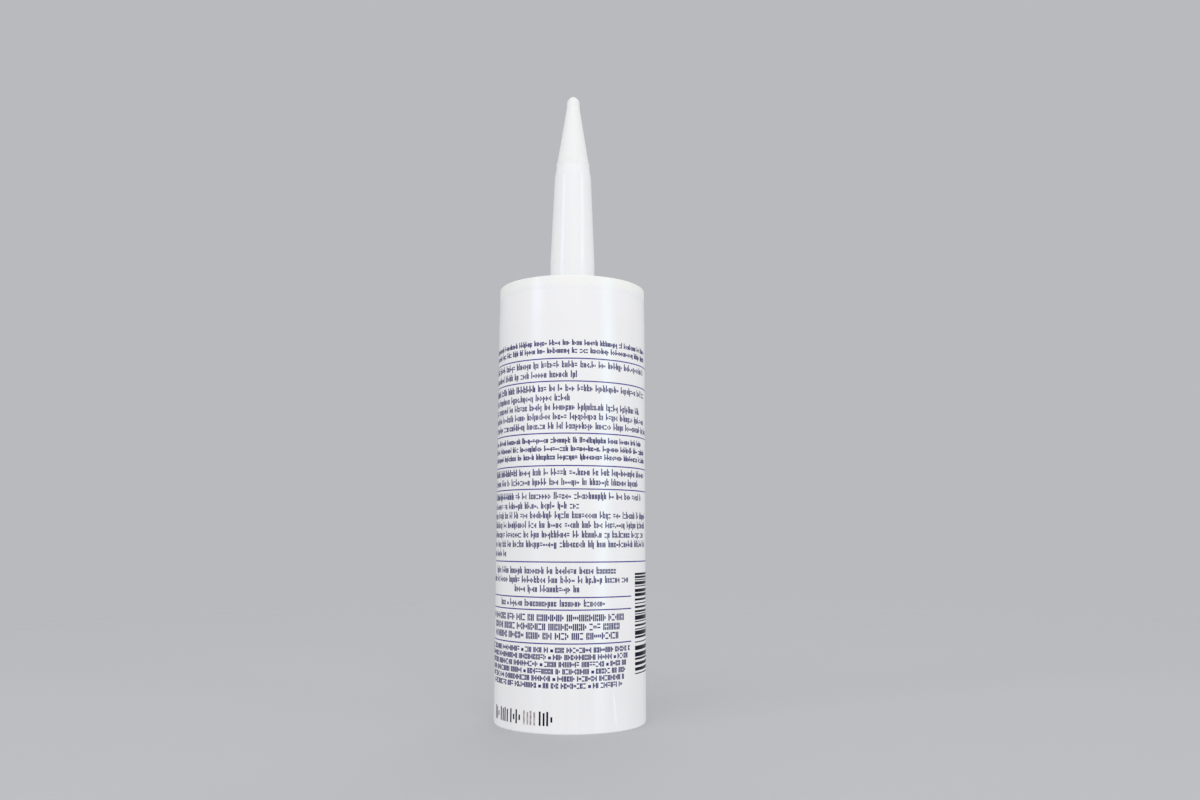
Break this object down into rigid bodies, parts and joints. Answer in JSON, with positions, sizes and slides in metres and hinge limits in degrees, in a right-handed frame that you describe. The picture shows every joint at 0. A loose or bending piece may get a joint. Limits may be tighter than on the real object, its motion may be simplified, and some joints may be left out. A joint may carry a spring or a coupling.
{
  "type": "caulk tube",
  "caption": "White plastic sealant cartridge for a caulking gun, with a closed, tapered nozzle welded to its barrel and a lipped push plunger inside its open rear.",
  "frame": {"origin": "centre of the rear rim's plane, on the barrel's axis, so the tube stands on its rear rim", "axes": "+Z along the axis from the rear rim to the tip of the nozzle; -Y faces the middle of the printed side; +X is to its right"},
  "size_m": [0.0496, 0.0496, 0.2138],
  "materials": {
    "barrel": "extruded white polyethylene with a soft gloss, printed in blue-black",
    "head": "moulded white polyethylene, soft gloss, duller on the rim and the upper cone",
    "foil": "satin foil",
    "plunger": "moulded natural polyethylene, satin",
    "sealant": "thick paste, satin"
  },
  "bodies": {
    "cartridge": {"barrel": "barrel", "nozzle_head": "head", "inner_seal": "foil", "sealant": "sealant"},
    "plunger": {"plunger": "plunger"}
  },
  "joints": [
    {"name": "plunger_slide", "type": "slide", "parent": "cartridge", "child": "plunger", "axis": [0, 0, 1], "range_m": [0, 0.1104], "deforming": ["sealant"]}
  ]
}
